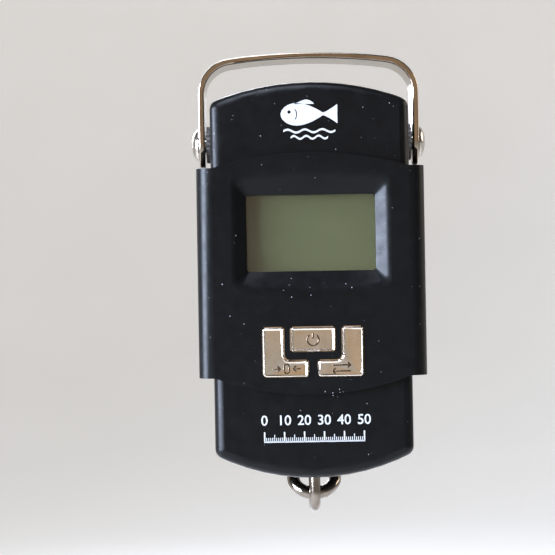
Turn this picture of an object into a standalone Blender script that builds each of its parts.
"""Digital hanging fish scale: a flat steel handle, a plastic case with a belt, and a folding hook.

Sizes are in millimetres and become metres where a mesh is made. The origin is the underside of the
handle's arch, where the scale is held. +Z is up, the display faces -Y, and the load hangs in the
plane Y = 0.
"""

import math

import bmesh
import bpy
from mathutils import Matrix, Vector

MM = 0.001
GAP = 0.3  # between two pieces that touch
RUN = 0.25  # round a key in its pocket

BODY_WIDTH = 50.0

# Handle: a flat strip bent to a U
STRAP_THICKNESS = 1.5
STRAP_WIDTH = 12.0
HANDLE_CLEAR = 1.5  # from the case's side to the leg
HANDLE_WIDTH = BODY_WIDTH + 2 * (HANDLE_CLEAR + STRAP_THICKNESS)
HANDLE_RISE = 21.2
HANDLE_SAG = 2.2
HANDLE_CORNER = 9.0
PIVOT_Z = -HANDLE_RISE
PIVOT_SCREW_R = 2.0
SCREW_HEAD_R = 4.0
SCREW_DOME = 1.7
WASHER_R = 4.7

# Batteries and the bay they lie in, behind the load cell
CELL_THICK = 4.0
CELL_R = 5.25
BATTERY_LENGTH = 44.5
BATTERY_X = CELL_R + 0.45
NUB_R = 1.9
NUB_HEIGHT = 0.8
SPRING_HEIGHT = 3.0
CONTACT_THICK = 0.5
CONTACT_HALF = 4.2
CONTACT_HALF_DEPTH = 4.0
BAY_FLOOR = 1.0
BAY_FRONT = CELL_THICK / 2 + GAP
BAY_WALL = 3.5
COVER_THICK = 1.2
COVER_LAP = 2.2
BATTERY_Y = BAY_FRONT + BAY_FLOOR + RUN + CELL_R

# Case
BODY_ABOVE_PIVOT = 14.7
BODY_LENGTH = 99.7
TOP_ARCH = 4.8
BOTTOM_ARCH = 6.0
END_CORNER = 2.5
BODY_FRONT = -12.0
BELT_STEP_BACK = 1.7
BELT_BACK = BATTERY_Y + CELL_R + RUN + COVER_THICK
BODY_BACK = BELT_BACK - BELT_STEP_BACK
CASE_WALL = 1.8
EDGE_ROUND = 2.4
TAPER_START_Y = 2.2
TAPER_RISE = 12.6
TAPER_RUN = 13.3
BODY_TOP = PIVOT_Z + BODY_ABOVE_PIVOT
BODY_BOTTOM = BODY_TOP - BODY_LENGTH

# Belt round the middle of the case
BELT_SIDE = 3.7
BELT_WIDTH = BODY_WIDTH + 2 * BELT_SIDE
BELT_BELOW_PIVOT = 6.8
BELT_LENGTH = 52.6
BELT_TOP_ARCH = 3.5
BELT_BOTTOM_ARCH = 4.4
BELT_ARCH_WIDTH = BODY_WIDTH - 1.0
BELT_PROUD = 1.5
BELT_FACE = 1.2
BELT_ROUND = 3.8
BELT_FRONT = BODY_FRONT - BELT_PROUD
BELT_TOP = PIVOT_Z - BELT_BELOW_PIVOT
BELT_BOTTOM = BELT_TOP - BELT_LENGTH

# Display window and what lies behind it
WINDOW_WIDTH = 32.4
WINDOW_HEIGHT = 19.2
WINDOW_TOP = BELT_TOP - 6.9
WINDOW_BOTTOM = WINDOW_TOP - WINDOW_HEIGHT
FUNNEL_WIDTH = WINDOW_WIDTH + 6.4
FUNNEL_DEPTH = 2.1
FUNNEL_ABOVE = 4.4
FUNNEL_BELOW = 3.6
FUNNEL_ARCH = 1.5
FUNNEL_CORNER = 2.6
FUNNEL_ROLL = 0.3  # share of the slope that is rounded over at the face
WINDOW_CORNER = 0.7
PAD_BACK = BELT_FRONT + 2.6
PAD_WIDTH = WINDOW_WIDTH + 10.0
PAD_MARGIN = 6.2
PAD_TOP = WINDOW_TOP + PAD_MARGIN
PAD_SPLIT = WINDOW_BOTTOM - 7.2
GASKET_THICK = 0.5
LENS_THICK = 0.9
LCD_THICK = 1.6
ZEBRA_THICK = 1.6
BOARD_THICK = 1.2
GLASS_MARGIN = 0.8

# Keys
KEY_TOP = WINDOW_BOTTOM - 14.1
KEY_HEIGHT = 12.3
POWER_WIDTH = 11.0
POWER_HEIGHT = 6.0
TARE_OUTER = 12.5
TARE_INNER = 1.3
TARE_ARM = 5.1
TARE_FOOT = 4.0
KEY_PROUD = 0.4
KEY_FLANGE = 0.7
KEY_FLANGE_THICK = 0.8
KEY_TRAVEL = 0.5
KEY_PAD_LOW = KEY_TOP - KEY_HEIGHT - 1.1
KEY_PAD_WIDTH = 2 * TARE_OUTER + 3.4

# Load path: cross bar, load cell, eye block, eye and hook
BAR_LENGTH = BODY_WIDTH - 2 * (CASE_WALL + GAP)
BAR_SIDE = 8.0
CELL_WIDTH = 14.0
CELL_TOP = PIVOT_Z + 2.7
CELL_BOTTOM = BODY_BOTTOM + 9.2
BLOCK_WIDTH = 16.0
BLOCK_DEPTH = 12.6
BLOCK_HEIGHT = 8.0
BLOCK_BOTTOM = CELL_BOTTOM - 1.0
EYE_WIRE_R = 1.4
EYE_BEND_R = 4.6
EYE_BELOW = 8.5
EYE_CENTRE_Z = BODY_BOTTOM - EYE_BELOW + EYE_BEND_R
HOOK_WIRE_R = 1.7
HOOK_EYE_CLEAR = 1.25
HOOK_BOWL_R = 9.7
HOOK_BOWL_AT = 29.0
HOOK_LIFT = math.radians(40.0)  # above level, folded up behind the case
HOOK_EYE_R = ((EYE_BEND_R + EYE_WIRE_R) / math.cos(HOOK_LIFT) + HOOK_EYE_CLEAR + HOOK_WIRE_R) / 2
HOOK_PIVOT_Z = EYE_CENTRE_Z - EYE_BEND_R + EYE_WIRE_R + GAP + HOOK_WIRE_R

# The bay's height follows the batteries
BAY_HALF = BATTERY_X + CELL_R + 0.35
BAY_TOP = BELT_TOP - 2.4
BAY_LENGTH = BATTERY_LENGTH + SPRING_HEIGHT + 2 * CONTACT_THICK + 5 * GAP
BAY_BOTTOM = BAY_TOP - BAY_LENGTH
COVER_HALF = BAY_HALF + COVER_LAP
COVER_TOP = BAY_TOP + 1.0
COVER_BOTTOM = BAY_BOTTOM - 1.2

# Fasteners
THREAD_CLEAR = 0.2  # round a board screw in its boss
BOARD_SCREW_R = 0.8
CASE_SCREW_R = 1.1
CASE_HEAD_R = 2.0
CELL_SCREW_R = 1.2
CELL_SCREW_X = 4.0
CASE_SCREW_X = BODY_WIDTH / 2 - 5.4
CASE_SCREW_DROP = 7.4
CASE_SCREW_RAISE = 18.2
CASE_BOSS_R = 2.7
BOARD_SCREW_X = PAD_WIDTH / 2 - 2.2
BOARD_BOSS_R = 1.6
WIRE_R = 0.5
WIRE_EXIT_X = BAY_HALF - 1.9
WIRE_EXIT_Y = BAY_FRONT + 3.3
CELL_SCREW_Z = BLOCK_BOTTOM + BLOCK_HEIGHT / 2 + 0.6

# Levels from front to back
GASKET_FRONT = PAD_BACK + GAP
LENS_FRONT = GASKET_FRONT + GASKET_THICK + GAP
LCD_FRONT = LENS_FRONT + LENS_THICK + GAP
ZEBRA_FRONT = LCD_FRONT + LCD_THICK + GAP
BOARD_FRONT = ZEBRA_FRONT + ZEBRA_THICK + GAP
BOARD_BACK = BOARD_FRONT + BOARD_THICK
BOARD_TOP = PAD_TOP
BOARD_BOTTOM = KEY_PAD_LOW - 0.4

MODEL = "digital_fish_scale"
TOOLS = "cutting_shapes"

ABS_BLACK = ((0.012, 0.013, 0.016), 0.42, 0.0)
STEEL = ((0.62, 0.60, 0.57), 0.16, 1.0)
CHROME = ((0.78, 0.72, 0.66), 0.10, 1.0)
ALLOY = ((0.60, 0.61, 0.63), 0.38, 1.0)
ZINC = ((0.55, 0.56, 0.58), 0.35, 1.0)
CLEAR = ((0.80, 0.86, 0.80), 0.06, 0.0)
LCD_GREEN = ((0.20, 0.24, 0.13), 0.20, 0.0)
BOARD_GREEN = ((0.02, 0.16, 0.07), 0.45, 0.0)
EPOXY = ((0.01, 0.01, 0.01), 0.30, 0.0)
SILICONE = ((0.30, 0.30, 0.31), 0.60, 0.0)
BRASS = ((0.70, 0.48, 0.20), 0.30, 1.0)
NYLON = ((0.28, 0.28, 0.29), 0.50, 0.0)
BATTERY_SLEEVE = ((0.03, 0.20, 0.10), 0.35, 0.0)
RED = ((0.45, 0.02, 0.02), 0.50, 0.0)
BLACK = ((0.02, 0.02, 0.02), 0.50, 0.0)
WHITE = ((0.75, 0.75, 0.73), 0.50, 0.0)
GREEN = ((0.03, 0.25, 0.06), 0.50, 0.0)


# ---------------------------------------------------------------- tools

def clear_scene():
    for thing in list(bpy.data.objects):
        bpy.data.objects.remove(thing, do_unlink=True)


def collection(name):
    found = bpy.data.collections.get(name)
    if found is None:
        found = bpy.data.collections.new(name)
        bpy.context.scene.collection.children.link(found)
    return found


def place(name, mesh):
    thing = bpy.data.objects.new(name, mesh)
    collection(TOOLS).objects.link(thing)
    thing.hide_render = True
    thing.display_type = "WIRE"
    return thing


def piece(thing, name, finish):
    """Makes a shape one of the scale's pieces, with a name and a material of its own."""
    thing.name = name
    collection(TOOLS).objects.unlink(thing)
    collection(MODEL).objects.link(thing)
    thing.hide_render = False
    thing.display_type = "TEXTURED"
    colour, roughness, metallic = finish
    material = bpy.data.materials.new(name + "_finish")
    material.use_nodes = True
    shader = material.node_tree.nodes["Principled BSDF"]
    shader.inputs["Base Color"].default_value = (*colour, 1.0)
    shader.inputs["Roughness"].default_value = roughness
    shader.inputs["Metallic"].default_value = metallic
    thing.data.materials.clear()
    thing.data.materials.append(material)
    return thing


def as_mesh(thing, name):
    """The evaluated shape as a plain mesh object in world places, with its caps welded."""
    bpy.context.view_layer.update()
    evaluated = thing.evaluated_get(bpy.context.evaluated_depsgraph_get())
    mesh = bpy.data.meshes.new_from_object(evaluated)
    mesh.transform(thing.matrix_world)
    shape = bmesh.new()
    shape.from_mesh(mesh)
    bmesh.ops.remove_doubles(shape, verts=shape.verts, dist=0.002 * MM)
    bmesh.ops.dissolve_limit(
        shape, angle_limit=math.radians(0.2), verts=shape.verts, edges=shape.edges
    )
    bmesh.ops.recalc_face_normals(shape, faces=shape.faces)
    shape.to_mesh(mesh)
    shape.free()
    bpy.data.objects.remove(thing, do_unlink=True)
    return place(name, mesh)


# A prism's outline lies across its axis: (x, z) along Y, (y, z) along X, (x, y) along Z.
TURNS = {
    "Y": Matrix(((1, 0, 0, 0), (0, 0, -1, 0), (0, 1, 0, 0), (0, 0, 0, 1))),
    "X": Matrix(((0, 0, 1, 0), (1, 0, 0, 0), (0, 1, 0, 0), (0, 0, 0, 1))),
    "Z": Matrix.Identity(4),
}


def prism(outline, axis, low, high, name="shape"):
    """A flat outline with thickness, from low to high along the axis."""
    curve = bpy.data.curves.new(name, "CURVE")
    curve.dimensions = "2D"
    curve.fill_mode = "BOTH"
    curve.extrude = (high - low) / 2 * MM
    spline = curve.splines.new("POLY")
    spline.points.add(len(outline) - 1)
    for point, (u, v) in zip(spline.points, outline):
        point.co = (u * MM, v * MM, 0, 1)
    spline.use_cyclic_u = True
    middle = (low + high) / 2 * MM
    shift = {"X": (middle, 0, 0), "Y": (0, middle, 0), "Z": (0, 0, middle)}[axis]
    thing = place(name, curve)
    thing.matrix_world = Matrix.Translation(shift) @ TURNS[axis]
    return as_mesh(thing, name)


def box(x_span, y_span, z_span, name="box"):
    low = Vector((x_span[0], y_span[0], z_span[0])) * MM
    high = Vector((x_span[1], y_span[1], z_span[1])) * MM
    shape = bmesh.new()
    bmesh.ops.create_cube(shape, size=1.0)
    bmesh.ops.scale(shape, vec=high - low, verts=shape.verts)
    bmesh.ops.translate(shape, vec=(high + low) / 2, verts=shape.verts)
    mesh = bpy.data.meshes.new(name)
    shape.to_mesh(mesh)
    shape.free()
    return place(name, mesh)


AIM = {
    "X": Matrix.Rotation(math.pi / 2, 4, "Y"),
    "Y": Matrix.Rotation(-math.pi / 2, 4, "X"),
    "Z": Matrix.Identity(4),
}


def rod(radius, axis, low, high, across, segments=16, name="rod"):
    """A cylinder from low to high along the axis, centred at `across` in the other two."""
    shape = bmesh.new()
    bmesh.ops.create_cone(
        shape, cap_ends=True, segments=segments, radius1=radius * MM, radius2=radius * MM,
        depth=(high - low) * MM,
    )
    middle = (low + high) / 2
    a, b = across
    centre = {"X": (middle, a, b), "Y": (a, middle, b), "Z": (a, b, middle)}[axis]
    bmesh.ops.transform(
        shape, matrix=Matrix.Translation(Vector(centre) * MM) @ AIM[axis], verts=shape.verts
    )
    mesh = bpy.data.meshes.new(name)
    shape.to_mesh(mesh)
    shape.free()
    return place(name, mesh)


def turned(profile, axis, start, across, segments=20, flip=False, closed=False, name="turned"):
    """A profile of (radius, height), run from top to bottom, turned round the axis."""
    mesh = bpy.data.meshes.new(name)
    points = [(r * MM, 0, h * MM) for r, h in profile]
    edges = [(i, i + 1) for i in range(len(points) - 1)]
    if closed:
        edges.append((len(points) - 1, 0))
    mesh.from_pydata(points, edges, [])
    thing = place(name, mesh)
    screw = thing.modifiers.new("turn", "SCREW")
    screw.steps = segments
    screw.render_steps = segments
    screw.use_merge_vertices = True
    screw.merge_threshold = 0.00001
    a, b = across
    centre = {"X": (start, a, b), "Y": (a, start, b), "Z": (a, b, start)}[axis]
    half_turn = Matrix.Rotation(math.pi, 4, "Y" if axis == "X" else "X")
    aim = AIM[axis] if not flip else half_turn @ AIM[axis]
    thing.matrix_world = Matrix.Translation(Vector(centre) * MM) @ aim
    return as_mesh(thing, name)


def tube(points, radius, name="tube", sides=2):
    """A round wire through its points."""
    curve = bpy.data.curves.new(name, "CURVE")
    curve.dimensions = "3D"
    curve.bevel_depth = radius * MM
    curve.bevel_resolution = sides
    curve.use_fill_caps = True
    spline = curve.splines.new("POLY")
    spline.points.add(len(points) - 1)
    for point, (x, y, z) in zip(spline.points, points):
        point.co = (x * MM, y * MM, z * MM, 1)
    return as_mesh(place(name, curve), name)


def smooth_route(points, per_span=4):
    """Points on a smooth curve through the given ones."""
    ends = [points[0]] + list(points) + [points[-1]]
    route = []
    for before, start, end, after in zip(ends, ends[1:], ends[2:], ends[3:]):
        for step in range(per_span):
            t = step / per_span
            route.append(tuple(
                0.5 * (2 * b + (c - a) * t + (2 * a - 5 * b + 4 * c - d) * t**2
                       + (3 * b - a - 3 * c + d) * t**3)
                for a, b, c, d in zip(before, start, end, after)
            ))
    route.append(tuple(points[-1]))
    return route


def use(target, other, how):
    """One Boolean step. A shape whose faces meet along shared planes names the Manifold solver."""
    step = target.modifiers.new(how.lower(), "BOOLEAN")
    step.operation = how
    step.solver = target.get("solver", "EXACT")
    step.object = other


def cut(target, *others):
    for other in others:
        use(target, other, "DIFFERENCE")


def join(target, *others):
    for other in others:
        use(target, other, "UNION")


def keep_common(target, other):
    use(target, other, "INTERSECT")


def round_edges(thing, radius, segments, chosen):
    """Rounds the sharp edges whose two ends, in millimetres, `chosen` accepts."""
    shape = bmesh.new()
    shape.from_mesh(thing.data)
    edges = [
        edge for edge in shape.edges
        if len(edge.link_faces) == 2 and edge.calc_face_angle(0) > 0.3
        and chosen(edge.verts[0].co / MM, edge.verts[1].co / MM)
    ]
    bmesh.ops.bevel(
        shape, geom=edges, offset=radius * MM, segments=segments, profile=0.5,
        affect="EDGES", clamp_overlap=False,
    )
    shape.to_mesh(thing.data)
    shape.free()


def near(value, target, within=0.01):
    return abs(value - target) < within


def at_level(axis, level):
    """Chooses edges that lie in one plane."""
    return lambda a, b: near(a[axis], level) and near(b[axis], level)


# ------------------------------------------------------------- outlines

def arch(half_width, base, rise, steps):
    """Points on the circle through (+-half_width, base) that rises by `rise`, left to right."""
    radius = (half_width**2 + rise**2) / (2 * rise)
    swing = math.asin(half_width / radius)
    points = []
    for step in range(steps + 1):
        angle = swing * (2 * step / steps - 1)
        points.append((radius * math.sin(angle), base + rise - radius * (1 - math.cos(angle))))
    return points


def filleted(points, corners, segments=4):
    """The closed outline with the corners named by index rounded to their radius."""
    result = []
    count = len(points)
    for index, point in enumerate(points):
        radius = corners.get(index, 0)
        if not radius:
            result.append(tuple(point))
            continue
        here = Vector(point)
        back = (Vector(points[index - 1]) - here).normalized()
        ahead = (Vector(points[(index + 1) % count]) - here).normalized()
        half = back.angle(ahead) / 2
        centre = here + (back + ahead).normalized() * radius / math.sin(half)
        start = here + back * radius / math.tan(half) - centre
        end = here + ahead * radius / math.tan(half) - centre
        turn = start.angle_signed(end)
        for step in range(segments + 1):
            spot = centre + Matrix.Rotation(-turn * step / segments, 2) @ start
            result.append((spot.x, spot.y))
    return result


def body_outline(inset=0.0, corner=END_CORNER):
    """The case's front outline, moved in by `inset`."""
    half = BODY_WIDTH / 2 - inset
    top = arch(half, BODY_TOP - TOP_ARCH - inset, TOP_ARCH, 12)
    low = [(x, BODY_BOTTOM + BOTTOM_ARCH + inset - (z - BODY_TOP)) for x, z in
           arch(half, BODY_TOP, BOTTOM_ARCH, 12)]
    points = top + low[::-1]
    last = len(top) - 1
    return filleted(points, {0: corner, last: corner, last + 1: corner, len(points) - 1: corner})


def belt_outline(inset=0.0):
    """The belt's front outline: flat shoulders, then an arch over the middle."""
    half = BELT_WIDTH / 2 - inset
    top_level = BELT_TOP - inset
    low_level = BELT_BOTTOM + inset
    top = arch(BELT_ARCH_WIDTH / 2 - inset, top_level, BELT_TOP_ARCH, 12)
    low = [(x, 2 * low_level - z) for x, z in
           arch(BELT_ARCH_WIDTH / 2 - inset, low_level, BELT_BOTTOM_ARCH, 12)]
    points = [(-half, top_level)] + top + [(half, top_level), (half, low_level)]
    return points + low[::-1] + [(-half, low_level)]


def rectangle(half_width, low, high, corner=0.0):
    points = [(-half_width, high), (half_width, high), (half_width, low), (-half_width, low)]
    return filleted(points, {i: corner for i in range(4)}, 3) if corner else points


def pad_outline(clear=0.0):
    """The stepped area behind the window and the keys, wider round the window."""
    wide = PAD_WIDTH / 2 + clear
    slim = KEY_PAD_WIDTH / 2 + clear
    top = PAD_TOP + clear
    low = KEY_PAD_LOW - clear
    split = PAD_SPLIT - clear
    return [(-wide, top), (wide, top), (wide, split), (slim, split),
            (slim, low), (-slim, low), (-slim, split), (-wide, split)]


def power_outline(grow=0.0):
    half = POWER_WIDTH / 2 + grow
    points = [(-half, KEY_TOP + grow), (half, KEY_TOP + grow)]
    points += [(half, KEY_TOP - POWER_HEIGHT - grow), (-half, KEY_TOP - POWER_HEIGHT - grow)]
    return filleted(points, {i: 0.5 + grow for i in range(4)}, 3)


def corner_key_outline(side, grow=0.0):
    """An L: an arm up the outside and a foot towards the middle. `side` is -1 or 1."""
    low = KEY_TOP - KEY_HEIGHT - grow
    foot = KEY_TOP - KEY_HEIGHT + TARE_FOOT + grow
    arm = TARE_OUTER - TARE_ARM - grow
    points = [(TARE_OUTER + grow, KEY_TOP + grow), (TARE_OUTER + grow, low),
              (TARE_INNER - grow, low), (TARE_INNER - grow, foot),
              (arm, foot), (arm, KEY_TOP + grow)]
    corners = {0: 0.6, 1: 0.8, 2: 0.5, 3: 0.5, 4: 1.3, 5: 0.5}
    outline = filleted(points, {i: r + (grow if i != 4 else 0) for i, r in corners.items()}, 3)
    return outline if side > 0 else [(-x, z) for x, z in outline[::-1]]


# --------------------------------------------------------------- pieces

def handle_strap():
    """The strip's two sides, arched over the top and rounded into the legs, as one outline."""
    outer_half = HANDLE_WIDTH / 2
    half = STRAP_WIDTH / 2
    foot = PIVOT_Z - half - 1

    def side(inset):
        across = outer_half - inset
        top = arch(across, STRAP_THICKNESS - HANDLE_SAG - inset, HANDLE_SAG, 14)
        points = [(-across, foot), top[0]] + top[3:-3] + [top[-1], (across, foot)]
        corner = HANDLE_CORNER - inset
        return filleted(points, {1: corner, len(points) - 2: corner}, 8)

    outline = side(0.0) + side(STRAP_THICKNESS)[::-1]
    strap = prism(outline, "Y", -half, half)
    end = [(-half * math.cos(math.pi * i / 12), PIVOT_Z - half * math.sin(math.pi * i / 12))
           for i in range(13)]
    above = STRAP_THICKNESS + 1
    sides = [(half + 1, PIVOT_Z), (half + 1, above), (-half - 1, above), (-half - 1, PIVOT_Z)]
    round_foot = prism(end + sides, "X", -outer_half - 1, outer_half + 1)
    keep_common(strap, round_foot)
    hole = rod(PIVOT_SCREW_R + GAP, "X", -outer_half - 1, outer_half + 1, (0, PIVOT_Z))
    cut(strap, hole)
    return piece(strap, "handle_strap", STEEL)


def pivot_fastener(side, word):
    """A domed screw through the handle's leg into the cross bar, and its ridged washer."""
    outer = HANDLE_WIDTH / 2 + GAP
    length = outer - BAR_LENGTH / 2 + 4.6
    dome = [(SCREW_HEAD_R * math.sin(a), SCREW_DOME * math.cos(a))
            for a in [math.pi / 2 * i / 5 for i in range(6)]]
    profile = dome + [(PIVOT_SCREW_R, 0), (PIVOT_SCREW_R, -length), (0, -length)]
    screw = turned(profile, "X", side * outer, (0, PIVOT_Z), flip=side < 0)
    piece(screw, "pivot_screw_" + word, CHROME)
    inner = BODY_WIDTH / 2 + GAP
    thick = HANDLE_WIDTH / 2 - STRAP_THICKNESS - GAP - inner
    bore = PIVOT_SCREW_R + GAP
    ring = [(bore, thick), (WASHER_R, thick), (WASHER_R, 0), (bore, 0)]
    washer = turned(ring, "X", side * inner, (0, PIVOT_Z), flip=side < 0, closed=True)
    piece(washer, "pivot_washer_" + word, NYLON)
    return [screw, washer]


def eye_slot():
    return box((-EYE_WIRE_R - 0.6, EYE_WIRE_R + 0.6),
               (-EYE_BEND_R - EYE_WIRE_R - 0.6, EYE_BEND_R + EYE_WIRE_R + 0.6),
               (BODY_BOTTOM - 1, BODY_BOTTOM + 8))


def case_screw_places():
    top = BODY_TOP - CASE_SCREW_DROP
    low = BODY_BOTTOM + CASE_SCREW_RAISE
    return [("top_left", -CASE_SCREW_X, top), ("top_right", CASE_SCREW_X, top),
            ("low_left", -CASE_SCREW_X, low), ("low_right", CASE_SCREW_X, low)]


def front_shell():
    shell = prism(body_outline(), "Y", BODY_FRONT, -GAP / 2)
    round_edges(shell, EDGE_ROUND, 3, at_level(1, BODY_FRONT))
    cavity = prism(body_outline(CASE_WALL, 1.0), "Y", BODY_FRONT + CASE_WALL, 1)
    cut(shell, cavity)
    for _, x, z in case_screw_places():
        join(shell, rod(CASE_BOSS_R, "Y", BODY_FRONT + 1, -GAP / 2, (x, z), 14))
    for _, x, z in case_screw_places():
        cut(shell, rod(CASE_SCREW_R + GAP, "Y", BODY_FRONT + 3, 1, (x, z), 10))
    cut(shell, prism(pad_outline(GAP), "Y", BODY_FRONT - 1, BODY_FRONT + 4))
    cut(shell, rod(PIVOT_SCREW_R + GAP, "X", -BODY_WIDTH, BODY_WIDTH, (0, PIVOT_Z), 16))
    cut(shell, eye_slot())
    return piece(shell, "front_shell", ABS_BLACK)


def window_funnel():
    """The recess round the window: rounded over at the face, sloping in to the window's outline."""
    half = FUNNEL_WIDTH / 2
    inner = WINDOW_WIDTH / 2
    top = WINDOW_TOP + FUNNEL_ABOVE
    low = WINDOW_BOTTOM - FUNNEL_BELOW
    upper = arch(half, top, FUNNEL_ARCH, 10)
    lower = [(x, 2 * low - z) for x, z in arch(half, low, FUNNEL_ARCH + 1.0, 10)]
    corners = (0, len(upper) - 1, len(upper), 2 * len(upper) - 1)
    sill = [(x / half * inner, WINDOW_TOP) for x, _ in upper]
    sill += [(x / half * inner, WINDOW_BOTTOM) for x, _ in lower[::-1]]
    front = filleted(upper + lower[::-1], {i: FUNNEL_CORNER for i in corners}, 4)
    back = filleted(sill, {i: WINDOW_CORNER for i in corners}, 4)
    # each level is a depth and a share of the way out from the window's outline
    levels = [(PAD_BACK + 1, 0), (BELT_FRONT + FUNNEL_DEPTH, 0)]
    bend = 1 - FUNNEL_ROLL
    for share in (0.0, 0.25, 0.5, 0.75):
        out = bend * (1 - share) ** 2 + 2 * share * (1 - share) + (1 + FUNNEL_ROLL) * share ** 2
        levels.append((BELT_FRONT + FUNNEL_DEPTH * FUNNEL_ROLL * (1 - share) ** 2, out))
    levels += [(BELT_FRONT - 0.02, 1 + FUNNEL_ROLL), (BELT_FRONT - 1, 1.02 + FUNNEL_ROLL)]
    shape = bmesh.new()
    rings = []
    for y, share in levels:
        ring = []
        for (face_x, face_z), (sill_x, sill_z) in zip(front, back):
            x = sill_x + (face_x - sill_x) * share
            z = sill_z + (face_z - sill_z) * share
            ring.append(shape.verts.new(Vector((x, y, z)) * MM))
        rings.append(ring)
    for ahead, behind in zip(rings, rings[1:]):
        for i in range(len(front)):
            j = (i + 1) % len(front)
            shape.faces.new((ahead[i], ahead[j], behind[j], behind[i]))
    shape.faces.new(rings[0])
    shape.faces.new(rings[-1])
    bmesh.ops.recalc_face_normals(shape, faces=shape.faces)
    mesh = bpy.data.meshes.new("funnel")
    shape.to_mesh(mesh)
    shape.free()
    return place("funnel", mesh)


def board_screw_places():
    top = PAD_TOP - BOARD_BOSS_R - 0.3
    low = PAD_SPLIT + BOARD_BOSS_R + 0.5
    return [("top_left", -BOARD_SCREW_X, top), ("top_right", BOARD_SCREW_X, top),
            ("low_left", -BOARD_SCREW_X, low), ("low_right", BOARD_SCREW_X, low)]


def belt_block(face, back):
    """Half of the belt as a solid, its two long edges rounded at the face."""
    half = BELT_WIDTH / 2
    block = prism(belt_outline(), "Y", min(face, back), max(face, back))
    block["solver"] = "MANIFOLD"
    past = back + (1 if back > face else -1)
    points = [(-half - 1, past), (-half, past), (-half, face), (half, face), (half, past),
              (half + 1, past), (half + 1, 2 * face - past), (-half - 1, 2 * face - past)]
    rounded = filleted(points, {2: BELT_ROUND, 3: BELT_ROUND}, 5)
    low, high = BELT_BOTTOM - 10, BELT_TOP + 10
    cut(block, prism(rounded, "Z", low, high))
    return block


def display_bezel():
    """The front half of the belt: a raised face with the window, the key holes and thick sides."""
    belt = belt_block(BELT_FRONT, -GAP / 2)
    cut(belt, prism(body_outline(-GAP), "Y", BELT_FRONT + BELT_FACE, 1))
    join(belt, prism(pad_outline(), "Y", BELT_FRONT + 0.6, PAD_BACK))
    for _, x, z in board_screw_places():
        join(belt, rod(BOARD_BOSS_R, "Y", PAD_BACK - 0.5, BOARD_FRONT - GAP, (x, z), 12))
    for _, x, z in board_screw_places():
        cut(belt, rod(BOARD_SCREW_R + THREAD_CLEAR, "Y", PAD_BACK + 0.5, BOARD_FRONT, (x, z), 8))
    cut(belt, window_funnel())
    for outline in (power_outline(RUN), corner_key_outline(-1, RUN), corner_key_outline(1, RUN)):
        cut(belt, prism(outline, "Y", BELT_FRONT - 1, PAD_BACK + 1))
    return piece(belt, "display_bezel", ABS_BLACK)


def taper_cut():
    """What is taken off the back of the case's low end, so that the hook can fold there."""
    slope = TAPER_RISE / TAPER_RUN
    reach = BELT_BACK + 6
    points = [(TAPER_START_Y - 4, BODY_BOTTOM - 4 * slope),
              (reach, BODY_BOTTOM + (reach - TAPER_START_Y) * slope),
              (reach, BODY_BOTTOM - 6), (TAPER_START_Y - 4, BODY_BOTTOM - 6)]
    return prism(points, "X", -BELT_WIDTH, BELT_WIDTH)


def taper_inner_cut():
    """The same slope, a wall's thickness inside, which trims the cavity."""
    slope = TAPER_RISE / TAPER_RUN
    rise = CASE_WALL * math.hypot(TAPER_RISE, TAPER_RUN) / TAPER_RUN
    reach = BELT_BACK + 6
    points = [(TAPER_START_Y - 4, BODY_BOTTOM - 4 * slope + rise),
              (reach, BODY_BOTTOM + (reach - TAPER_START_Y) * slope + rise),
              (reach, BODY_BOTTOM - 6), (TAPER_START_Y - 4, BODY_BOTTOM - 6)]
    return prism(points, "X", -BELT_WIDTH, BELT_WIDTH)


def rear_shell():
    shell = prism(body_outline(), "Y", GAP / 2, BODY_BACK)
    shell["solver"] = "MANIFOLD"
    round_edges(shell, EDGE_ROUND, 3, at_level(1, BODY_BACK))
    belt = belt_block(BELT_BACK, GAP / 2)
    join(shell, belt)
    cut(shell, taper_cut())
    cavity = prism(body_outline(CASE_WALL, 1.0), "Y", -1, BODY_BACK - CASE_WALL)
    cavity["solver"] = "MANIFOLD"
    belt_space = prism(belt_outline(CASE_WALL), "Y", -1, BELT_BACK - CASE_WALL - 1.2)
    join(cavity, belt_space)
    cut(cavity, taper_inner_cut())
    cut(shell, cavity)
    bay = box((-BAY_HALF - BAY_WALL, BAY_HALF + BAY_WALL), (BAY_FRONT, BELT_BACK - 1),
              (COVER_BOTTOM - 1.6, COVER_TOP + 1.6))
    join(shell, bay)
    for _, x, z in case_screw_places():
        join(shell, rod(CASE_BOSS_R, "Y", GAP / 2, BODY_BACK - CASE_WALL + 0.3, (x, z), 14))
    for _, x, z in case_screw_places():
        cut(shell, rod(CASE_SCREW_R + GAP, "Y", -1, BODY_BACK + 1, (x, z), 10))
        cut(shell, rod(CASE_HEAD_R + GAP, "Y", BODY_BACK - 3, BODY_BACK + 1, (x, z), 14))
    floor = BAY_FRONT + BAY_FLOOR
    cut(shell, box((-BAY_HALF, BAY_HALF), (floor, BELT_BACK + 1), (BAY_BOTTOM, BAY_TOP)))
    cut(shell, prism(rectangle(COVER_HALF + GAP, COVER_BOTTOM - GAP, COVER_TOP + GAP, 1.5),
                     "Y", BELT_BACK - COVER_THICK - GAP, BELT_BACK + 1))
    for side in (-1, 1):
        cut(shell, rod(WIRE_R + GAP, "Z", BAY_TOP - 1, COVER_TOP + 4,
                       (side * WIRE_EXIT_X, WIRE_EXIT_Y), 10))
    cut(shell, rod(PIVOT_SCREW_R + GAP, "X", -BODY_WIDTH, BODY_WIDTH, (0, PIVOT_Z), 16))
    cut(shell, eye_slot())
    return piece(shell, "rear_shell", ABS_BLACK)


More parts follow.
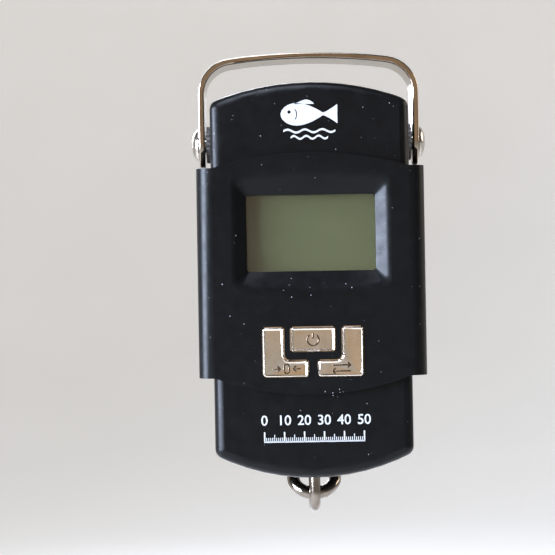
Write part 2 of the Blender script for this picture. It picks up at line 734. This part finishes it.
def battery_cover():
    outline = rectangle(COVER_HALF, COVER_BOTTOM, COVER_TOP, 1.5)
    cover = prism(outline, "Y", BELT_BACK - COVER_THICK, BELT_BACK)
    for index in range(3):
        z = COVER_BOTTOM + 4.0 + 1.6 * index
        cut(cover, box((-5, 5), (BELT_BACK - 0.5, BELT_BACK + 1), (z, z + 0.8)))
    return piece(cover, "battery_cover", ABS_BLACK)


def framed(half, low, high, wall, y_low, y_high, name, finish):
    frame = prism(rectangle(half, low, high), "Y", y_low, y_high)
    cut(frame, prism(rectangle(half - wall, low + wall, high - wall), "Y", y_low - 1, y_high + 1))
    return piece(frame, name, finish)


def display_stack():
    half = WINDOW_WIDTH / 2
    edge = GLASS_MARGIN
    low, high = WINDOW_BOTTOM - edge, WINDOW_TOP + edge
    made = [framed(half + edge, low, high, edge - 0.1, GASKET_FRONT,
                   GASKET_FRONT + GASKET_THICK, "lens_gasket", SILICONE)]
    lens = box((-half - edge, half + edge), (LENS_FRONT, LENS_FRONT + LENS_THICK), (low, high))
    made.append(piece(lens, "display_lens", CLEAR))
    panel = box((-half - edge, half + edge), (LCD_FRONT, LCD_FRONT + LCD_THICK), (low, high))
    made.append(piece(panel, "lcd_panel", LCD_GREEN))
    made.append(framed(half + edge + GAP + 1.0, low - GAP - 1.0, high + GAP + 1.0, 1.0,
                       LENS_FRONT, BOARD_FRONT - GAP, "lcd_frame", WHITE))
    for word, z in (("upper", high - 2.0), ("lower", low + 0.4)):
        strip = box((-half, half), (ZEBRA_FRONT, ZEBRA_FRONT + ZEBRA_THICK), (z, z + 1.6))
        made.append(piece(strip, "contact_strip_" + word, SILICONE))
    return made


def circuit_board():
    half = PAD_WIDTH / 2 - 0.2
    board = prism(rectangle(half, BOARD_BOTTOM, BOARD_TOP), "Y", BOARD_FRONT, BOARD_BACK)
    for _, x, z in board_screw_places():
        cut(board, rod(BOARD_SCREW_R + GAP, "Y", BOARD_FRONT - 1, BOARD_BACK + 1, (x, z), 10))
    return piece(board, "circuit_board", BOARD_GREEN)


def board_parts():
    """What is soldered to the back of the board, beside the load cell."""
    level = BOARD_BACK + GAP
    side = CELL_WIDTH / 2 + 6.5
    middle = (WINDOW_TOP + WINDOW_BOTTOM) / 2
    chip = rod(3.6, "Y", level, level + 1.4, (side, middle + 3), 16)
    made = [piece(chip, "controller_chip", EPOXY)]
    converter = box((-side - 2.5, -side + 2.5), (level, level + 1.5), (middle - 2, middle + 2))
    made.append(piece(converter, "converter_chip", EPOXY))
    crystal = rod(1.0, "Z", middle - 12, middle - 6, (side, level + 1.0), 10)
    made.append(piece(crystal, "crystal_can", ZINC))
    filter_can = rod(2.0, "Y", level, level + 4.4, (-side, middle - 11), 14)
    made.append(piece(filter_can, "filter_capacitor", ALLOY))
    return made


def board_screws():
    made = []
    for word, x, z in board_screw_places():
        depth = BOARD_BACK + GAP - (PAD_BACK + 1.2)
        profile = [(0, 1.0), (1.5, 1.0), (1.5, 0), (BOARD_SCREW_R, 0), (BOARD_SCREW_R, -depth),
                   (0, -depth)]
        screw = turned(profile, "Y", BOARD_BACK + GAP, (x, z), 10)
        made.append(piece(screw, "board_screw_" + word, ZINC))
    return made


def case_screws():
    made = []
    level = BODY_BACK - 3 + GAP
    depth = level - (BODY_FRONT + 4)
    for word, x, z in case_screw_places():
        profile = [(0, 1.5), (CASE_HEAD_R, 1.5), (CASE_HEAD_R, 0), (CASE_SCREW_R, 0),
                   (CASE_SCREW_R, -depth), (0, -depth)]
        screw = turned(profile, "Y", level, (x, z), 12)
        made.append(piece(screw, "case_screw_" + word, ZINC))
    return made


def key(name, outline, grown):
    back = PAD_BACK + GAP + KEY_FLANGE_THICK
    cap = prism(outline, "Y", BELT_FRONT - KEY_PROUD, back)
    round_edges(cap, 0.3, 1, at_level(1, BELT_FRONT - KEY_PROUD))
    join(cap, prism(grown, "Y", PAD_BACK + GAP, back))
    return piece(cap, name, CHROME)


def key_centres():
    arm = TARE_OUTER - TARE_ARM / 2
    return [(0.0, KEY_TOP - POWER_HEIGHT / 2), (-arm, KEY_TOP - KEY_HEIGHT / 2),
            (arm, KEY_TOP - KEY_HEIGHT / 2)]


def keypad_mat():
    """The rubber sheet: one raised dome under each key, stopping short of it."""
    back = BOARD_FRONT - GAP
    half = KEY_PAD_WIDTH / 2 - 0.7
    mat = box((-half, half), (back - 0.8, back), (KEY_PAD_LOW + 0.4, KEY_TOP + 1.0))
    dome_top = PAD_BACK + GAP + KEY_FLANGE_THICK + KEY_TRAVEL + GAP
    for x, z in key_centres():
        join(mat, rod(2.2, "Y", dome_top, back - 0.3, (x, z), 14))
    return piece(mat, "keypad_mat", SILICONE)


def cross_bar():
    half = BAR_LENGTH / 2
    side = BAR_SIDE / 2
    bar = box((-half, half), (-side, side), (PIVOT_Z - side, PIVOT_Z + side))
    slot = CELL_THICK / 2 + GAP
    reach = CELL_WIDTH / 2 + GAP
    cut(bar, box((-reach, reach), (-slot, slot), (PIVOT_Z - side - 1, CELL_TOP + GAP)))
    for sign in (-1, 1):
        ends = sorted((sign * (half - 5.2), sign * (half + 1)))
        cut(bar, rod(PIVOT_SCREW_R + GAP, "X", ends[0], ends[1], (0, PIVOT_Z), 16))
    for x in (-CELL_SCREW_X, CELL_SCREW_X):
        cut(bar, rod(CELL_SCREW_R + GAP, "Y", -side - 1, side + 1, (x, PIVOT_Z), 10))
    return piece(bar, "cross_bar", ZINC)


def load_cell():
    """A flat beam with two slots from opposite sides, so that a pull bends its middle."""
    half = CELL_WIDTH / 2
    thick = CELL_THICK / 2
    beam = box((-half, half), (-thick, thick), (CELL_BOTTOM, CELL_TOP))
    middle = (CELL_TOP + CELL_BOTTOM) / 2
    cut(beam, box((-half - 1, half / 2), (-3, 3), (middle + 8, middle + 9.6)))
    cut(beam, box((-half / 2, half + 1), (-3, 3), (middle - 9.6, middle - 8)))
    cut(beam, rod(3.0, "Y", -3, 3, (0, middle), 16))
    for x in (-CELL_SCREW_X, CELL_SCREW_X):
        cut(beam, rod(CELL_SCREW_R + GAP, "Y", -3, 3, (x, PIVOT_Z), 10))
        cut(beam, rod(CELL_SCREW_R + GAP, "Y", -3, 3, (x, CELL_SCREW_Z), 10))
    return piece(beam, "load_cell", ALLOY)


def strain_gauges():
    middle = (CELL_TOP + CELL_BOTTOM) / 2
    inner = CELL_WIDTH / 2 + GAP
    made = []
    for word, sign in (("left", -1), ("right", 1)):
        span = sorted((sign * inner, sign * (inner + 1.0)))
        gauge = box(tuple(span), (-1.7, 1.7), (middle - 5, middle + 5))
        made.append(piece(gauge, "strain_gauge_" + word, SILICONE))
    return made


def cell_screws():
    made = []
    for level, z, half in (("upper", PIVOT_Z, BAR_SIDE / 2), ("lower", CELL_SCREW_Z,
                                                              BLOCK_DEPTH / 2)):
        for word, x in (("left", -CELL_SCREW_X), ("right", CELL_SCREW_X)):
            length = 2 * half + GAP
            profile = [(0, 1.3), (2.2, 1.3), (2.2, 0), (CELL_SCREW_R, 0),
                       (CELL_SCREW_R, -length), (0, -length)]
            screw = turned(profile, "Y", -half - GAP, (x, z), 12, flip=True)
            made.append(piece(screw, "cell_screw_" + level + "_" + word, ZINC))
    return made


def eye_block():
    half = BLOCK_WIDTH / 2
    deep = BLOCK_DEPTH / 2
    block = box((-half, half), (-deep, deep), (BLOCK_BOTTOM, BLOCK_BOTTOM + BLOCK_HEIGHT))
    slot = CELL_THICK / 2 + GAP
    reach = CELL_WIDTH / 2 + GAP
    cut(block, box((-reach, reach), (-slot, slot),
                   (CELL_BOTTOM - GAP, BLOCK_BOTTOM + BLOCK_HEIGHT + 1)))
    for sign in (-1, 1):
        cut(block, rod(EYE_WIRE_R + GAP, "Z", BLOCK_BOTTOM - 1, BLOCK_BOTTOM + BLOCK_HEIGHT + 1,
                       (0, sign * EYE_BEND_R), 12))
    for x in (-CELL_SCREW_X, CELL_SCREW_X):
        cut(block, rod(CELL_SCREW_R + GAP, "Y", -deep - 1, deep + 1, (x, CELL_SCREW_Z), 10))
    return piece(block, "eye_block", ZINC)


def load_eye():
    """The fixed wire loop under the case; its two legs run up through the block to their nuts."""
    top = BLOCK_BOTTOM + BLOCK_HEIGHT + 3.0
    bend = [(0, -EYE_BEND_R * math.cos(math.pi * i / 10),
             EYE_CENTRE_Z - EYE_BEND_R * math.sin(math.pi * i / 10)) for i in range(11)]
    route = [(0, -EYE_BEND_R, top)] + bend + [(0, EYE_BEND_R, top)]
    return piece(tube(route, EYE_WIRE_R, sides=3), "load_eye", STEEL)


def eye_nuts():
    made = []
    low = BLOCK_BOTTOM + BLOCK_HEIGHT + GAP
    for word, sign in (("front", -1), ("rear", 1)):
        bore = EYE_WIRE_R + GAP
        ring = [(bore, 2.2), (2.9, 2.2), (2.9, 0), (bore, 0)]
        nut = turned(ring, "Z", low, (0, sign * EYE_BEND_R), 6, closed=True)
        made.append(piece(nut, "eye_nut_" + word, ZINC))
    return made


def batteries():
    """Two AAA cells side by side, one each way up."""
    made = []
    half_body = [(0, BATTERY_LENGTH), (NUB_R, BATTERY_LENGTH),
                 (NUB_R, BATTERY_LENGTH - NUB_HEIGHT), (CELL_R, BATTERY_LENGTH - NUB_HEIGHT),
                 (CELL_R, 0), (0, 0)]
    left_low = BAY_TOP - CONTACT_THICK - 3 * GAP - BATTERY_LENGTH
    left = turned(half_body, "Z", left_low, (-BATTERY_X, BATTERY_Y), 20)
    made.append(piece(left, "battery_left", BATTERY_SLEEVE))
    right_high = BAY_BOTTOM + CONTACT_THICK + 3 * GAP + BATTERY_LENGTH
    right = turned(half_body, "Z", right_high, (BATTERY_X, BATTERY_Y), 20, flip=True)
    made.append(piece(right, "battery_right", BATTERY_SLEEVE))
    return made


def coil(x, low, high, narrow_up):
    turns = 3
    steps = 10 * turns
    points = []
    for step in range(steps + 1):
        share = step / steps
        radius = 3.4 - 1.3 * (share if narrow_up else 1 - share)
        angle = 2 * math.pi * turns * share
        points.append((x + radius * math.cos(angle), BATTERY_Y + radius * math.sin(angle),
                       low + 0.3 + (high - low - 0.6) * share))
    return tube(points, 0.3, sides=1)


def battery_contacts():
    made = []
    deep = (BATTERY_Y - CONTACT_HALF_DEPTH, BATTERY_Y + CONTACT_HALF_DEPTH)
    top = (BAY_TOP - GAP - CONTACT_THICK, BAY_TOP - GAP)
    low = (BAY_BOTTOM + GAP, BAY_BOTTOM + GAP + CONTACT_THICK)
    for word, sign in (("left", -1), ("right", 1)):
        span = sorted((sign * (BATTERY_X - CONTACT_HALF), sign * (BATTERY_X + CONTACT_HALF)))
        made.append(piece(box(tuple(span), deep, top), "contact_plate_" + word, BRASS))
    bridge = box((-BATTERY_X - CONTACT_HALF, BATTERY_X + CONTACT_HALF), deep, low)
    made.append(piece(bridge, "contact_bridge", BRASS))
    left_end = BAY_TOP - CONTACT_THICK - 3 * GAP - BATTERY_LENGTH
    spring = coil(-BATTERY_X, low[1] + GAP, left_end - GAP, True)
    made.append(piece(spring, "battery_spring_left", ZINC))
    right_end = BAY_BOTTOM + CONTACT_THICK + 3 * GAP + BATTERY_LENGTH
    spring = coil(BATTERY_X, right_end + GAP, top[0] - GAP, False)
    made.append(piece(spring, "battery_spring_right", ZINC))
    return made


def wires():
    """Insulated leads, each from its terminal to the back of the board."""
    made = []
    board = BOARD_BACK + GAP + WIRE_R
    over = COVER_TOP + 1.6 + 1.2
    middle = (CELL_TOP + CELL_BOTTOM) / 2
    for word, sign, finish in (("red", -1, RED), ("black", 1, BLACK)):
        x = sign * WIRE_EXIT_X
        route = [(x, WIRE_EXIT_Y, BAY_TOP + 0.1), (x, WIRE_EXIT_Y, over - 1.0),
                 (x, WIRE_EXIT_Y - 2.2, over), (x, -0.2, over), (x, board + 0.3, over - 1.4),
                 (x, board + 0.1, over - 4.5)]
        made.append(piece(tube(smooth_route(route, 3), WIRE_R), "battery_wire_" + word, finish))
    pad = CELL_WIDTH / 2 + GAP + 1.0 + GAP + WIRE_R
    for word, sign, shift, finish in (("white", -1, 3.0, WHITE), ("green", 1, -3.0, GREEN)):
        z = middle + shift
        route = [(sign * pad, 0.4, z), (sign * (pad + 0.3), 0.2, z + 3.5),
                 (sign * (pad + 0.8), -1.0, z + 6.5), (sign * (pad + 1.2), board + 0.1, z + 9.0),
                 (sign * (pad + 1.2), board + 0.1, z + 12.0)]
        made.append(piece(tube(smooth_route(route, 3), WIRE_R), "cell_wire_" + word, finish))
    return made


def hook():
    """An eye, a shank that swings out to one side, and a round bowl, all from one wire."""
    along = Vector((0, math.cos(HOOK_LIFT), math.sin(HOOK_LIFT)))
    base = Vector((0, 0, HOOK_PIVOT_Z))

    def spot(x, reach):
        return tuple(base + Vector((x, 0, 0)) + along * reach)

    start = 2 * HOOK_EYE_R
    bend_from = start + 3.5
    bend_to = HOOK_BOWL_AT - 4.0
    route = [spot(0, start), spot(0, start + 1.8)]
    for i in range(9):
        share = i / 8
        sway = HOOK_BOWL_R * (1 - math.cos(math.pi * share)) / 2
        route.append(spot(sway, bend_from + (bend_to - bend_from) * share))
    for i in range(15):
        angle = math.pi * i / 14
        route.append(spot(HOOK_BOWL_R * math.cos(angle),
                          HOOK_BOWL_AT + HOOK_BOWL_R * math.sin(angle)))
    route += [spot(-HOOK_BOWL_R, HOOK_BOWL_AT - 3), spot(-HOOK_BOWL_R - 0.5, HOOK_BOWL_AT - 6),
              spot(-HOOK_BOWL_R - 1.4, HOOK_BOWL_AT - 8.5)]
    wire = tube(route, HOOK_WIRE_R, sides=3)
    rings = 24
    circle = [spot(HOOK_EYE_R * math.sin(2 * math.pi * i / rings),
                   HOOK_EYE_R * (1 - math.cos(2 * math.pi * i / rings))) for i in range(rings)]
    curve = bpy.data.curves.new("eye", "CURVE")
    curve.dimensions = "3D"
    curve.bevel_depth = HOOK_WIRE_R * MM
    curve.bevel_resolution = 3
    spline = curve.splines.new("POLY")
    spline.points.add(rings - 1)
    for point, (x, y, z) in zip(spline.points, circle):
        point.co = (x * MM, y * MM, z * MM, 1)
    spline.use_cyclic_u = True
    eye = as_mesh(place("eye", curve), "eye")
    join(wire, eye)
    return piece(wire, "hook", STEEL)


# -------------------------------------------------------------- assembly

def pivot(name, x, y, z, parent=None):
    """An empty on a joint's axis, which carries the pieces that move about it."""
    empty = bpy.data.objects.new(name, None)
    empty.empty_display_size = 5 * MM
    empty.location = Vector((x, y, z)) * MM
    collection(MODEL).objects.link(empty)
    bpy.context.view_layer.update()
    if parent is not None:
        carry(parent, [empty])
    return empty


def carry(parent, things):
    bpy.context.view_layer.update()
    for thing in things:
        thing.parent = parent
        thing.matrix_parent_inverse = parent.matrix_world.inverted()


def smooth_round_pieces():
    for thing in collection(MODEL).objects:
        if thing.type == "MESH":
            thing.data.shade_smooth()
            thing.data.set_sharp_from_angle(angle=math.radians(35))


def build():
    clear_scene()
    handle_strap()
    case = pivot("case_pivot", 0, 0, PIVOT_Z)
    fixed = pivot_fastener(-1, "left") + pivot_fastener(1, "right")
    fixed += [front_shell(), display_bezel(), rear_shell()]
    fixed += display_stack()
    fixed += [circuit_board(), keypad_mat(), cross_bar(), load_cell(), eye_block(), load_eye()]
    fixed += board_parts() + board_screws() + case_screws() + strain_gauges() + cell_screws()
    fixed += eye_nuts() + batteries() + battery_contacts() + wires()
    carry(case, fixed)
    centres = key_centres()
    outlines = (
        ("power_key", power_outline(), power_outline(KEY_FLANGE)),
        ("tare_key", corner_key_outline(-1), corner_key_outline(-1, KEY_FLANGE)),
        ("unit_key", corner_key_outline(1), corner_key_outline(1, KEY_FLANGE)),
    )
    for (name, outline, grown), (x, z) in zip(outlines, centres):
        guide = pivot(name + "_slide", x, BELT_FRONT, z, case)
        carry(guide, [key(name, outline, grown)])
    lift = pivot("cover_slide", 0, BELT_BACK, (COVER_TOP + COVER_BOTTOM) / 2, case)
    carry(lift, [battery_cover()])
    swing = pivot("hook_pivot", 0, 0, HOOK_PIVOT_Z, case)
    carry(swing, [hook()])
    smooth_round_pieces()


build()
